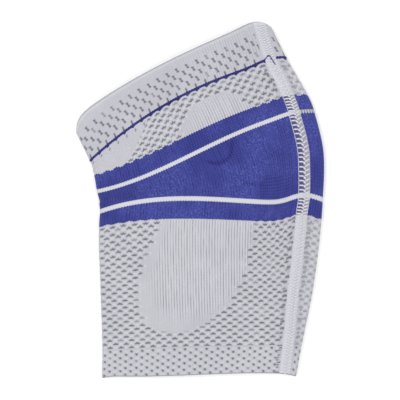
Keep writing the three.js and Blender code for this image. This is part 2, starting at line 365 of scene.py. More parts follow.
def chain_marks(offset, row, seed):
    """A straggling column of broken stitches beside the seam, by the distance from its middle in mm."""
    index = np.floor(row)
    x = offset - 2.4 * (chance(index, seed) - 0.5)
    y = row - index - 0.5
    width = 0.5 + 1.1 * chance(index, seed + 5)
    mark = (1 - smooth(np.abs(x), width, width + 0.8)) * (1 - smooth(np.abs(y), 0.15, 0.38))
    return mark * smooth(chance(index + 9, seed), 0.15, 0.4)


# %% [markdown]
# ## The zones
#
# Every zone lies between two courses. Its edges are not straight: where the yarn changes, each wale's
# loops end in a point, so the edge is a fine zigzag. Neighbours share that zigzag and meet without a gap.
# Over the open-stitch panels the blue edge is scalloped as well, and the thin blue line of the thigh cuff
# has a small bump below it on every fourth wale. The white stripes are a little wider than the
# frame's own, as in the photograph.

# %% The table of zones
ZONE_EDGES = {
    "calf_cuff": ("calf_rim", "cuff_top"),
    "calf_panel": ("cuff_top", "band_bottom"),
    "knee_band_lower": ("band_bottom", "low_stripe"),
    "stripe_lower": ("low_stripe", "low_stripe"),
    "knee_band_middle": ("low_stripe", "high_stripe"),
    "stripe_upper": ("high_stripe", "high_stripe"),
    "knee_band_upper": ("high_stripe", "band_top"),
    "thigh_panel": ("band_top", "cuff_line"),
    "cuff_line": ("cuff_line", "cuff_line"),
    "thigh_cuff": ("cuff_line", "thigh_rim"),
}
ZONE_ROWS = {
    "calf_cuff": 48,
    "calf_panel": 180,
    "knee_band_lower": 26,
    "stripe_lower": 6,
    "knee_band_middle": 110,
    "stripe_upper": 6,
    "knee_band_upper": 26,
    "thigh_panel": 60,
    "cuff_line": 4,
    "thigh_cuff": 84,
}
COURSE_HEIGHT = 1.8
STRIPE_SPREAD = {"low_stripe": 0.35, "high_stripe": 0.1}
HALF_TRIM = {course: STRIPE_WIDTH / 2 + spread for course, spread in STRIPE_SPREAD.items()}
HALF_TRIM["cuff_line"] = LINE_WIDTH / 2
RIMS = ("calf_rim", "thigh_rim")
TOOTH = {"cuff_line": 0.3, "cuff_top": 0.3}
STRIPE_TOOTH = 0.8
SCALLOP = {"band_bottom": 0.45, "band_top": -0.6}
LINE_BUMP = 0.9
PROBE = 0.05


def spacing_at(run, along):
    """How far apart the courses lie for each mm along: area of the surface patch over its length round."""
    low, high = np.maximum(along - PROBE, 0), np.minimum(along + PROBE, sleeve_end)
    up = outside(run, high) - outside(run, low)
    around = outside(run + PROBE, along) - outside(run - PROBE, along)
    area = np.linalg.norm(np.cross(up, around), axis=-1)
    return area / np.linalg.norm(around, axis=-1) / (high - low)


def edge_wave(course, below, run, along):
    """The outline of a course's edge in mm: one tooth to a wale, with scallops over the open stitches."""
    wale = wale_at(TURNS, along)
    tooth = TOOTH.get(course, STRIPE_TOOTH) * (2 * np.abs(wale % 1 - 0.5) - 0.5)
    open_knit = smooth(oval_distance(across_of(run, along), along), 1.0, 1.05)
    scallop = SCALLOP.get(course, 0) * np.cos(2 * math.pi * wale / MARK_REPEAT) * open_knit
    bump = LINE_BUMP * bell(wale % MARK_REPEAT - 2.3, 0.5) if course == "cuff_line" and below else 0
    return tooth + scallop - bump


def edge_along(zone, end):
    """Where a zone's edge lies along the sleeve, for each grid column."""
    course = ZONE_EDGES[zone][end]
    along = np.full(len(TURNS), where[course])
    if course in RIMS:
        return along
    is_trim = ZONE_EDGES[zone][0] == ZONE_EDGES[zone][1]
    side = (1 if end == 1 else -1) * (1 if is_trim else -1)
    run = run_of(TURNS, along)
    shift = side * HALF_TRIM.get(course, 0) + edge_wave(course, side < 0, run, along)
    return along + shift / np.maximum(spacing_at(run, along), 0.25)


print("zones:", len(ZONE_EDGES), "with", sum(ZONE_ROWS.values()), "grid rows")

# %% [markdown]
# ## What each zone's skin carries
#
# Which stitches are open, where the knit is ribbed, and where the pad below presses a curved mark through
# the blue band, are worked out once as numbers from 0 to 1. The relief and the material both use them.
# The material paints shade into the open stitches, the crease and the rims, and highlights onto the full
# loops and the rolled lip.

# %% Fields of the knit
CROWN_ROWS = {"calf_panel": (34, 1.18), "thigh_panel": (9.6, 0.73)}
PANEL_BROKEN = {"rows": 0.8, "left": 0.9}
PANEL_TICKS = {"gap": 0.8, "reach": 0.9, "strength": 0.7, "wales": 29}
DOTS = {"rows": 8.57, "first": -0.1, "last": 8, "broken_rows": 1.4, "broken": 0.9}
SLITS = {"rows": 6.79, "first": 0.26, "from": 1, "to": 5, "tick_reach": 0.75}
SEAM_STRIP = 5.4
TICKS_FROM_SEAM = 4
CHAIN_OFFSET = 6.4
RIGHT_MARKS = 0.6
PLAIN_CORNER = (12.9, 16.4)
RIB_PATCH_SHIFT = (6, 4)
RIB_PATCH_EDGE = (0.84, 1.0)
CUFF_RIBS = 0.4
CUFF_LOOPS = 0.8
PAD_HOLE = {"across": 9.5, "along": 173.5, "radius": 12.4}
PAD_CREASE = {"across": 33.5, "along": 143, "reach": 9}
CUFFS = ("calf_cuff", "thigh_cuff")
RIM_RADIUS = WALL / 2
# Painted shade at the rims, and a painted highlight on the lip inside the thigh rim.
RIM_SHADE_REACH = 1.5
RIM_LIP_HIGHLIGHT = {"from_rim": 2.4, "reach": 1.0, "light": 0.7}


def ribbed_patch(zone, turn, run, along):
    """1 where the smooth knit of the oval is ribbed: a smaller oval, up and to the right of its middle."""
    across = across_of(run, along) - RIB_PATCH_SHIFT[0]
    if zone in CROWN_ROWS:
        patch = 1 - smooth(oval_distance(across, along - RIB_PATCH_SHIFT[1]), *RIB_PATCH_EDGE)
        return patch * (oval_distance(across_of(run, along), along) < 1) * (turn > 0)
    if zone == "thigh_cuff":
        return CUFF_RIBS * (1 - smooth(turn, 0.2, 0.6)) * (turn > 0)
    return np.zeros_like(along)


def is_plain(zone, from_seam, wale, rise, run, along):
    """Where no stitch is open: beside the seam, in the oval and in the left corner of the thigh panel."""
    plain = np.abs(from_seam) < SEAM_STRIP
    if zone in CROWN_ROWS:
        plain = plain | ((oval_distance(across_of(run, along), along) < 1.0) & (from_seam > 0))
    if zone == "thigh_panel":
        plain = plain | (FRONT_WALES - wale < PLAIN_CORNER[0] + PLAIN_CORNER[1] * rise)
    return plain


def panel_marks(zone, wale, rise, run, along, from_seam):
    """Crowns and full loops outside the plain parts, broken stitches by the seam, ticks at the line."""
    rows, first = CROWN_ROWS[zone]
    row = rise * rows + first
    to_middle = cell(wale, row)[0] * (run_of(1, along) - run_of(0, along)) / FRONT_WALES
    plain = is_plain(zone, from_seam - to_middle, wale, rise, run - to_middle, along)
    marks, loops = crown_marks(wale, row) * ~plain, bright_loops(wale, row) * ~plain
    marks = marks * np.where(from_seam < 0, RIGHT_MARKS, 1)
    for side, weight in ((1, PANEL_BROKEN["left"]), (-1, RIGHT_MARKS)):
        broken = chain_marks(from_seam - side * CHAIN_OFFSET, row * PANEL_BROKEN["rows"], side)
        marks = np.maximum(marks, weight * broken)
    if zone == "thigh_panel":
        below_line = rows - rise * rows - PANEL_TICKS["gap"]
        in_corner = FRONT_WALES - wale < PANEL_TICKS["wales"]
        ticks = PANEL_TICKS["strength"] * tick_marks(wale, below_line, PANEL_TICKS["reach"])
        marks = np.maximum(marks, ticks * in_corner)
    return marks, loops


def calf_cuff_marks(wale, rise, from_seam, beside):
    """Dots with full loops between them, and broken stitches to the left of the seam."""
    row = rise * DOTS["rows"] + DOTS["first"]
    in_rows = (row > 0) * (row < DOTS["last"]) * beside
    broken = DOTS["broken"] * chain_marks(from_seam - CHAIN_OFFSET, row * DOTS["broken_rows"], 1)
    return np.maximum(dot_marks(wale, row) * in_rows, broken), CUFF_LOOPS * bright_loops(wale, row) * in_rows


def thigh_cuff_marks(wale, rise, along, beside):
    """Slits, a tick at each on the line, and the lip inside the rim: raised a little and painted as a
    highlight.
    """
    row = rise * SLITS["rows"] + SLITS["first"]
    slits = slit_marks(wale - 0.5, row) * (row >= SLITS["from"]) * (row < SLITS["to"])
    ticks = tick_marks(wale, row - SLITS["first"], SLITS["tick_reach"])
    lip = RIM_LIP_HIGHLIGHT["light"] * bell(sleeve_end - along - RIM_LIP_HIGHLIGHT["from_rim"], RIM_LIP_HIGHLIGHT["reach"])
    return np.maximum(slits, ticks) * beside, lip * beside


def zone_marks(zone, turn, wale, rise, run, along):
    """How open the stitches of a zone are, and how strong the painted highlight on its full loops, each from
    0 to 1.
    """
    nothing = np.zeros_like(wale)
    from_seam = run - column_at(along, "inset")
    beside = np.abs(from_seam) > SEAM_STRIP
    if zone in CROWN_ROWS:
        return panel_marks(zone, wale, rise, run, along, from_seam)
    if zone == "calf_cuff":
        return calf_cuff_marks(wale, rise, from_seam, beside)
    if zone == "thigh_cuff":
        return thigh_cuff_marks(wale, rise, along, beside)
    if zone == "stripe_upper":
        return (0.5 + 0.5 * np.cos(2 * math.pi * wale)) * (turn < 0) * (from_seam < -TICKS_FROM_SEAM), nothing
    return nothing, nothing


def pad_creases(zone, turn, wale, run, along):
    """The pad's round hole and a short crease, pressed through the blue band and broken up by the wales."""
    if zone != "knee_band_middle":
        return np.zeros_like(along)
    x = across_of(run, along) - PAD_HOLE["across"]
    y = along - PAD_HOLE["along"]
    ring = bell(np.hypot(x, y) - PAD_HOLE["radius"], 1.5) * smooth(np.where(x > 0, 1.5, -5.5) - y, 0, 4)
    x = across_of(run, along) - PAD_CREASE["across"]
    y = along - PAD_CREASE["along"] + 0.12 * x
    crease = np.clip(ring + 0.8 * bell(y, 1.0) * bell(x, PAD_CREASE["reach"]), 0, 1)
    # The crease sinks the skin, and the material also paints it darker as shade.
    return crease * (0.6 + 0.4 * np.cos(2 * math.pi * wale)) * (turn > 0)


def rim_fall(zone, along):
    """How far the skin falls towards the wall's middle at a rim: a quarter circle of half the wall."""
    if zone not in CUFFS:
        return np.zeros_like(along)
    inside = np.clip(1 - np.minimum(along, sleeve_end - along) / RIM_RADIUS, 0, 1)
    return RIM_RADIUS * (1 - np.sqrt(1 - inside**2))


def painted_rim_shade(zone, along):
    """1 at a rim and 0 a little inside it: painted shade on the knit where it turns away at the rim."""
    if zone not in CUFFS:
        return np.zeros_like(along)
    return 1 - smooth(np.minimum(along, sleeve_end - along), 0, RIM_SHADE_REACH)


def zone_fields(zone, turn, wale, rise, run, along):
    """All that a zone's relief and material need to know at each point."""
    marks, loops = zone_marks(zone, turn, wale, rise, run, along)
    return {
        "mark": marks,
        "loop": loops,
        "ribbed": ribbed_patch(zone, turn, run, along),
        "crease": pad_creases(zone, turn, wale, run, along),
        # the rims' field is painted shade, where the knit turns away at the rim
        "edge": painted_rim_shade(zone, along),
    }


print("rows of open stitches:", {zone: rows for zone, (rows, _) in CROWN_ROWS.items()})

# %% [markdown]
# ## From grids to closed meshes
#
# A zone's mesh is its outer grid, an inner grid one wall further in, and two strips that close it at its
# edges. The UV map holds the wale and the course of every corner, so that a material can count stitches.

# %% Mesh builders
def grid_normals(points):
    """Unit normals of a grid from the cross product of its row and column differences."""
    along = np.gradient(points, axis=0)
    around = np.gradient(points, axis=1)
    normals = np.cross(around, along)
    return normals / np.maximum(np.linalg.norm(normals, axis=-1, keepdims=True), 1e-9)


def make_mesh(name, points, quads, uv=None, fields=None):
    """A mesh object from points in mm, quads, corner UVs and per-point numbers."""
    mesh = bpy.data.meshes.new(name)
    mesh.vertices.add(len(points))
    mesh.vertices.foreach_set("co", ((points + SHIFT) * MM).astype(np.float32).ravel())
    mesh.loops.add(quads.size)
    mesh.loops.foreach_set("vertex_index", quads.astype(np.int32).ravel())
    mesh.polygons.add(len(quads))
    mesh.polygons.foreach_set("loop_start", np.arange(0, quads.size, quads.shape[1], dtype=np.int32))
    mesh.polygons.foreach_set("use_smooth", np.ones(len(quads), dtype=bool))
    if uv is not None:
        mesh.uv_layers.new(name="knit").uv.foreach_set("vector", uv.astype(np.float32).ravel())
    for field, values in (fields or {}).items():
        attribute = mesh.attributes.new(field, "FLOAT", "POINT")
        attribute.data.foreach_set("value", values.astype(np.float32).ravel())
    mesh.update(calc_edges=True)
    mesh.validate()
    piece = bpy.data.objects.new(name, mesh)
    bpy.context.scene.collection.objects.link(piece)
    return piece


def grid_quads(rows, columns, first=0):
    """Corner indices of a grid that closes round its columns; seen from outside, columns run to the right."""
    row, column = np.meshgrid(np.arange(rows), np.arange(columns), indexing="ij")
    following = (column + 1) % columns
    here, up = first + row * columns, first + (row + 1) * columns
    return np.stack([here + column, here + following, up + following, up + column], -1).reshape(-1, 4)


def strip_quads(outer_row, inner_row, columns):
    """Quads that join one loop of the outer grid to one of the inner grid."""
    column = np.arange(columns)
    following = (column + 1) % columns
    return np.stack(
        [outer_row + column, inner_row + column, inner_row + following, outer_row + following], -1
    )


def grid_corners(values):
    """The values of a grid's points at each corner of its quads; the last column keeps its own values."""
    corners = np.stack([values[:-1, :-1], values[:-1, 1:], values[1:, 1:], values[1:, :-1]], 2)
    return corners.reshape(-1, 4, values.shape[-1])


def strip_corners(values):
    """The values of one row of a grid at each corner of a strip's quads."""
    return np.stack([values[:-1], values[:-1], values[1:], values[1:]], 1)


# %% [markdown]
# ## Relief
#
# The last step before meshing is the depth of the knit, in mm along the normal. Ribs stand up between the
# wales, open stitches sink in, full loops swell, and the trims are rounded. It fades out on the side that
# lies on the table, where the weight of the sleeve presses the knit flat.

# %% The zones' meshes
INNER_STEP = 8
RIB_HEIGHT = (0.12, 0.34)
MARK_DEPTH = 0.55
LOOP_HEIGHT = 0.15
CREASE_DEPTH = 0.5
TRIM_HEIGHT = {"cuff_line": 0.35, "stripe_lower": 0.12, "stripe_upper": 0.12}


def relief_of(zone, wale, rise, fields):
    """Depth in mm: a cosine rib on each wale, less the marks and creases, plus the loops and trims."""
    plain, ribbed = RIB_HEIGHT
    ribs = (plain + (ribbed - plain) * fields["ribbed"]) * (0.5 - 0.5 * np.cos(2 * math.pi * wale))
    sunk = MARK_DEPTH * fields["mark"] + CREASE_DEPTH * fields["crease"]
    return ribs - sunk + LOOP_HEIGHT * fields["loop"] + TRIM_HEIGHT.get(zone, 0) * np.sin(math.pi * rise)


def knit_zone(zone):
    """One knitted ring: a relief grid outside, a plain grid inside, closed at both edges."""
    rows, columns = ZONE_ROWS[zone], len(TURNS) - 1
    low, high = edge_along(zone, 0), edge_along(zone, 1)
    rise = np.linspace(0, 1, rows + 1)[:, None] * np.ones(len(TURNS))
    along = low + rise * (high - low)
    turn = np.broadcast_to(TURNS, along.shape)
    wale = wale_at(turn, along)
    run = run_of(turn, along)
    base = outside(run, along)
    normals = grid_normals(base)
    fields = zone_fields(zone, turn, wale, rise, run, along)
    off_table = smooth(base[..., 2], 0.6, 3.0)
    fall = rim_fall(zone, along)
    outer = base + (relief_of(zone, wale, rise, fields) * off_table - fall)[..., None] * normals
    inner_rows = np.unique(np.append(np.arange(0, rows, INNER_STEP), rows))
    inner = (base - (WALL - fall)[..., None] * normals)[inner_rows]
    first = (rows + 1) * columns
    last_outer, last_inner = rows * columns, first + (len(inner_rows) - 1) * columns
    quads = [
        grid_quads(rows, columns),
        grid_quads(len(inner_rows) - 1, columns, first)[:, ::-1],
        strip_quads(0, first, columns),
        strip_quads(last_outer, last_inner, columns)[:, ::-1],
    ]
    courses = max(1, round((where[ZONE_EDGES[zone][1]] - where[ZONE_EDGES[zone][0]]) / COURSE_HEIGHT))
    stitches = np.stack([wale, rise * courses], -1)
    uv = [
        grid_corners(stitches),
        grid_corners(stitches[inner_rows])[:, ::-1],
        strip_corners(stitches[0]),
        strip_corners(stitches[-1])[:, ::-1],
    ]
    on_points = {
        name: np.concatenate([values[:, :-1].ravel(), 0 * values[inner_rows][:, :-1].ravel()])
        for name, values in fields.items()
    }
    points = np.concatenate([outer[:, :-1].reshape(-1, 3), inner[:, :-1].reshape(-1, 3)])
    return make_mesh("knit_" + zone, points, np.concatenate(quads), np.concatenate(uv), on_points)


knit = {zone: knit_zone(zone) for zone in ZONE_EDGES}
for zone, piece in knit.items():
    print(piece.name, len(piece.data.polygons) * 2, "triangles")

# %% [markdown]
# ## The flat-lock seam
#
# The two edges of the knit are overlocked together. The seam is a low ridge, and over it run ladder
# stitches: a rung to the left edge, a rung that slants to the right edge, and a chain down the middle.
# Bump could suggest it, but the rungs are as thick as a render's pixel, so each is a real thread.

# %% The seam's ridge
RIDGE_ROWS = 420
RIDGE_COLUMNS = 14
RIDGE_HEIGHT = 1.0
RIDGE_SINK = 0.3
RIGHT_BLUE = 0.5
BLUE_FADE = (-0.4, 0.4)


def seam_point(sideways, along, rise):
    """A point over the seam: sideways in half widths to the left, and rise in mm over the skin."""
    inset = column_at(along, "inset")
    run = inset + sideways * SEAM_WIDTH / 2
    base = outside(run, along)
    up = outside(run, np.minimum(along + PROBE, sleeve_end)) - outside(run, np.maximum(along - PROBE, 0))
    around = outside(run - PROBE, along) - outside(run + PROBE, along)
    normal = np.cross(around, up)
    normal = normal / np.linalg.norm(normal, axis=-1, keepdims=True)
    return base + rise[..., None] * normal


def seam_ridge():
    """A low ridge along the seam: its height is 1 minus the fourth power of the way to its edge."""
    across = np.linspace(1, -1, RIDGE_COLUMNS)
    sideways = np.append(across, across[::-1])
    over = np.arange(2 * RIDGE_COLUMNS) < RIDGE_COLUMNS
    along, sideways = np.meshgrid(np.linspace(0.8, sleeve_end - 0.8, RIDGE_ROWS + 1), sideways, indexing="ij")
    dome = RIDGE_HEIGHT * (1 - np.abs(sideways) ** 4)
    rise = np.where(over, dome, -RIDGE_SINK)
    points = seam_point(sideways, along, rise)
    columns = points.shape[1]
    left = np.arange(RIDGE_COLUMNS - 1)
    cap = np.stack([left, columns - 1 - left, columns - 2 - left, left + 1], -1)
    quads = np.concatenate([grid_quads(RIDGE_ROWS, columns), cap, cap[:, ::-1] + RIDGE_ROWS * columns])
    blue = blue_at(along, sideways)
    return make_mesh("seam_ridge", points.reshape(-1, 3), quads, fields={"blue": blue})


def blue_at(along, sideways):
    """1 where the seam crosses the blue knit, less on its right half, and 0 over grey or white knit."""
    blue = (along > where["band_bottom"]) & (along < where["band_top"])
    low = np.abs(along - where["low_stripe"]) < HALF_TRIM["low_stripe"]
    high = np.abs(along - where["high_stripe"]) < HALF_TRIM["high_stripe"]
    share = RIGHT_BLUE + (1 - RIGHT_BLUE) * smooth(sideways, *BLUE_FADE)
    return np.where(blue & ~low & ~high, share, 0.0)


ridge = seam_ridge()
print("ridge:", len(ridge.data.polygons), "quads")

# %% [markdown]
# A thread is a profile carried along a path. All the rungs of one kind have the same path, repeated down
# the seam, so they are made together as one array of tubes.

# %% Threads of the seam
STITCH_PITCH = 2.35
THREAD_RADIUS = 0.67
RUNG_SWAY = 0.35
RUNGS = {
    "seam_left_rungs": ((0.1, 0.98, 0.5, 0.35), 1),
    "seam_right_rungs": ((-0.02, -0.96, 1.5, 0.35), 1),
    "seam_chain": ((0.2, -0.16, -1.3, 0.45), 1.2),
}
EDGE_RADIUS = 0.27
TUBE_SIDES = 6
TAIL_RADIUS = 0.5
TAIL_POINTS = {"t": (0, 0.4, 1), "sideways": (1.15, 0.1, -0.3), "along": (212.1, 215.0, 207.4)}


def tubes(name, paths, radius):
    """Closed tubes along paths of shape (count, steps, 3): rings square to the path, pointed at both ends."""
    count, stations, _ = paths.shape
    heading = np.gradient(paths, axis=1)
    heading /= np.linalg.norm(heading, axis=-1, keepdims=True)
    upward = np.array([0.0, 0.0, 1.0])
    sideways = np.cross(heading, upward)
    sideways /= np.maximum(np.linalg.norm(sideways, axis=-1, keepdims=True), 1e-6)
    normal = np.cross(sideways, heading)
    angle = np.arange(TUBE_SIDES) * 2 * math.pi / TUBE_SIDES
    taper = np.sin(np.linspace(0.12, math.pi - 0.12, stations)) ** 0.35
    ring = np.cos(angle)[:, None] * sideways[:, :, None] + np.sin(angle)[:, None] * normal[:, :, None]
    points = paths[:, :, None] + radius * taper[None, :, None, None] * ring
    quads = grid_quads(stations - 1, TUBE_SIDES)[:, ::-1]
    step = stations * TUBE_SIDES
    quads = (quads[None] + step * np.arange(count)[:, None, None]).reshape(-1, 4)
    ends = np.array([[0, 1, 2, 3], [0, 3, 4, 5]])
    far = ends[:, ::-1] + (stations - 1) * TUBE_SIDES
    caps = np.concatenate([ends, far])[None] + step * np.arange(count)[:, None, None]
    return make_mesh(name, points.reshape(-1, 3), np.concatenate([quads, caps.reshape(-1, 4)]))


def over_ridge(sideways, along, lift):
    """A path over the ridge, sunk a little into it and lifted by so much."""
    return seam_point(sideways, along, RIDGE_HEIGHT * (1 - np.abs(sideways) ** 4) + lift - 0.1)


def rung_paths(sideways_from, sideways_to, climb, lift):
    """One arched path for each stitch: sideways and along the seam in a straight line, up in a sine, and each
    a little higher or lower on the seam than the machine meant."""
    starts = np.arange(1.8, sleeve_end - 2.6, STITCH_PITCH)[:, None]
    starts = starts + RUNG_SWAY * (chance(np.floor(starts), sideways_to) - 0.5)
    t = np.linspace(0, 1, 7)[None, :]
    sideways = sideways_from + (sideways_to - sideways_from) * t + 0 * starts
    return over_ridge(sideways, starts + climb * t, lift * np.sin(math.pi * t))


def edge_paths():
    """The two threads that lock the rungs at the ridge's edges."""
    along = np.linspace(1.2, sleeve_end - 1.2, 500)[None, :]
    sides = np.array([[0.97], [-0.97]])
    return over_ridge(sides + 0 * along, along, 0.1 * np.sin(2 * math.pi * along / STITCH_PITCH))


def tail_path():
    """The end of the blue line's yarn, which lies loose over the seam."""
    t = np.linspace(0, 1, 16)
    sideways = np.interp(t, TAIL_POINTS["t"], TAIL_POINTS["sideways"])
    along = np.interp(t, TAIL_POINTS["t"], TAIL_POINTS["along"])
    return over_ridge(sideways, along, 0.75 + 0 * t)[None]


left_rungs, right_rungs, chain = (
    tubes(name, rung_paths(*route), THREAD_RADIUS * thickness) for name, (route, thickness) in RUNGS.items()
)
edges = tubes("seam_edge_threads", edge_paths(), EDGE_RADIUS)
tail = tubes("line_thread_tail", tail_path(), TAIL_RADIUS)
print("stitches:", len(left_rungs.data.polygons) // (6 * TUBE_SIDES + 4))

# %% [markdown]
# ## Writing materials as sums
#
# Shader maths reads best as an expression. A Wire wraps one socket, and adding or multiplying Wires adds
# Math nodes. Everything else comes from one method that takes a node's type, settings and inputs.

# %% The shader helpers
class Wire:
    """One output socket of a material, with arithmetic."""

    def __init__(self, finish, socket):
        self.finish = finish
        self.socket = socket

    def __add__(self, other):
        return self.finish.maths("ADD", self, other)

    def __sub__(self, other):
        return self.finish.maths("SUBTRACT", self, other)

    def __mul__(self, other):
        return self.finish.maths("MULTIPLY", self, other)

    def __rsub__(self, other):
        return self.finish.maths("SUBTRACT", other, self)

    def __pow__(self, other):
        return self.finish.maths("POWER", self, other)

    __radd__ = __add__
    __rmul__ = __mul__


class Finish:
    """A material whose nodes are added one by one."""

    def __init__(self, name):
        self.material = bpy.data.materials.new(name)
        self.material.use_nodes = True
        self.tree = self.material.node_tree
        self.tree.nodes.clear()

    def add(self, kind, settings=None, inputs=None, output=0):
        """A node of that type: its settings first, then the values or links of its sockets."""
        node = self.tree.nodes.new("ShaderNode" + kind)
        for setting, value in (settings or {}).items():
            setattr(node, setting, value)
        for socket, value in (inputs or {}).items():
            if isinstance(value, Wire):
                self.tree.links.new(value.socket, node.inputs[socket])
            else:
                node.inputs[socket].default_value = value
        return Wire(self, node.outputs[output]) if node.outputs else None

    def maths(self, operation, *values):
        """A Math node on Wires or numbers."""
        return self.add("Math", {"operation": operation}, dict(enumerate(values)))

    def place(self):
        """The point in the object's own metres."""
        return self.add("TexCoord", output=3)

    def noise(self, vector, scale, detail):
        """Noise from 0 to 1."""
        return self.add("TexNoise", {}, {"Vector": vector, "Scale": scale, "Detail": detail})

    def field(self, name):
        """One of the numbers that the mesh holds at each point."""
        return self.add("Attribute", {"attribute_name": name}, output=2)

    def blend(self, factor, first, second):
        """A colour between two colours."""
        return self.add("Mix", {"data_type": "RGBA"}, {0: factor, 6: first, 7: second}, output=2)

    def shade(self, colour, factor):
        """A colour times a number."""
        grey = self.add("CombineColor", {}, {0: factor, 1: factor, 2: factor})
        settings = {"data_type": "RGBA", "blend_type": "MULTIPLY"}
        return self.add("Mix", settings, {0: 1.0, 6: colour, 7: grey}, output=2)

    def close(self, colour, roughness, height, depth, sheen):
        """The surface: a rough sheen-covered cloth with its height as bump."""
        bump = self.add("Bump", {}, {"Strength": 1.0, "Distance": depth, "Height": height})
        surface = self.add(
            "BsdfPrincipled",
            {},
            {
                "Base Color": colour,
                "Roughness": roughness,
                "Normal": bump,
                "Sheen Weight": sheen,
                "Sheen Roughness": 0.5,
                "Specular IOR Level": 0.25,
            },
        )
        self.add("OutputMaterial", {}, {"Surface": surface})
        return self.material


def linear(red, green, blue):
    """A colour as the eye reads it, 0 to 255, turned into light, with an opaque fourth number."""
    return tuple((v / 255) ** 2.2 for v in (red, green, blue)) + (1.0,)


# %% [markdown]
# ## The knit
#
# Each stitch is a V: two legs that lean together. On the UV map a wale is 1 wide and a course is 1 high,
# so the V is a wave up the courses whose phase slides outwards from the wale's middle, and each leg is a
# rounded ridge across. The same height paints a little shade into the grooves and drives the bump. Shade
# is also painted into streaky grooves between the wales and courses, and highlights onto rib crests and
# loops.
#
# The studio throws more light on the sleeve than white paper needs, as a product photograph does, so each
# yarn is given the colour that the eye should see, and is darkened by that light level.

# %% The knit material
LIGHT_LEVEL = 1.57


def yarn(red, green, blue):
    """A yarn's own colour, from the colour it should show under the studio's light."""
    return tuple(v / LIGHT_LEVEL for v in linear(red, green, blue)[:3]) + (1.0,)


# The shadow, groove, eyelet and deep blue tones are painted shade; the loop tone is a painted highlight that
# also colours the random flecks.
GREY_YARN = yarn(206, 205, 213)
GREY_SHADOW = yarn(178, 178, 187)
GREY_GROOVE_SHADE = yarn(158, 158, 170)
LOOP_HIGHLIGHT_AND_FLECK = yarn(222, 222, 229)
EYELET_SHADE = yarn(114, 114, 124)
BLUE_YARN = yarn(72, 79, 163)
BLUE_SHADOW = yarn(46, 48, 130)
BLUE_LIGHT = yarn(104, 110, 192)
BLUE_DEEP_SHADE = yarn(28, 28, 100)
LINE_BLUE = yarn(58, 54, 132)
WHITE_YARN = yarn(222, 222, 230)
SEAM_WHITE = yarn(228, 228, 236)


def stitch_height(finish, wale, course):
    """0 in the grooves and 1 on the yarn: two leaning legs in each wale, one V in each course."""
    from_middle = finish.maths("ABSOLUTE", finish.maths("FRACT", wale) - 0.5) * 2
    wave = finish.maths("SINE", (course + from_middle * 0.7) * (2 * math.pi)) * 0.5 + 0.5
    leg = 1 - finish.maths("ABSOLUTE", from_middle * 2 - 1) ** 2
    return leg * 0.5 + wave * 0.5


def between(finish, value, low, high):
    """0 below low and 1 above high."""
    return finish.add("MapRange", {}, {0: value, 1: low, 2: high})


def knit_finish(name, tones, groove):
    """Knitted yarn in two tones, with painted shade in its streaky grooves and in the open stitches where
    there are any, and painted highlights on the ribs and the full loops.
    """
    finish = Finish(name)
    uv = finish.add("UVMap", {"uv_map": "knit"})
    wale = finish.add("SeparateXYZ", {}, {0: uv}, output=0)
    course = finish.add("SeparateXYZ", {}, {0: uv}, output=1)
    place = finish.place()
    fuzz = finish.noise(place, 900.0, 2.0)
    cloud = finish.noise(place, 45.0, 3.0)
    height = stitch_height(finish, wale, course)
    # Painted shade: the stitch height darkens the grooves between the legs towards the shadow tone.
    tone = between(finish, height * groove + (1 - groove) + fuzz * 0.5 - 0.25, 0, 1)
    colour = finish.blend(tone, tones["shadow"], tones["yarn"])
    streak_at = finish.add("CombineXYZ", {}, {0: wale * 0.9, 1: course * 0.12, 2: 0.0})
    streak = finish.noise(streak_at, 1.0, 2.0)
    between_wales = finish.maths("COSINE", wale * (2 * math.pi)) * 0.5 + 0.5
    ribbed = finish.field("ribbed")
    wale_groove_shade = between_wales * between_wales * between(finish, streak, 0.3, 0.62)
    # Painted highlight on the rib crests of the ribbed patch.
    colour = finish.blend(ribbed * (1 - between_wales) * 0.6, colour, tones["light"])
    # Painted shade in the streaky grooves between the wales, stronger in the ribbed patch.
    colour = finish.blend(wale_groove_shade * (ribbed * 0.8 + tones["ribs"]), colour, tones["groove"])
    patch = finish.noise(place, 34.0, 2.0)
    between_courses = finish.maths("COSINE", course * (2 * math.pi)) * 0.5 + 0.5
    course_groove_shade = between_courses * between(finish, patch, 0.45, 0.6)
    # Painted shade between the courses, in patches.
    colour = finish.blend(course_groove_shade * tones["courses"], colour, tones["groove"])
    fleck = finish.noise(place, 800.0, 1.0)
    bright = between(finish, fleck, 0.5, 0.7) * between(finish, patch, 0.65, 0.35)
    colour = finish.blend(bright * tones["flecks"], colour, tones["light"])
    loop = finish.field("loop")
    # Painted highlight on the full loops and on the rolled lip inside the thigh rim.
    colour = finish.blend(loop * 0.75, colour, tones["light"])
    colour = finish.shade(colour, cloud * 0.12 + 0.94)
    # Painted shade: the open and broken stitches, the pad's crease and the rims are darkened towards the mark
    # tone; the relief sinks the stitches and the crease as well.
    for field, depth, dark in (("mark", 0.95, "mark"), ("crease", 0.85, "mark"), ("edge", 0.6, "mark")):
        colour = finish.blend(finish.field(field) * depth, colour, tones[dark])
    return finish.close(colour, 0.9, height + fuzz * 0.4, 0.22 * MM, 0.08)


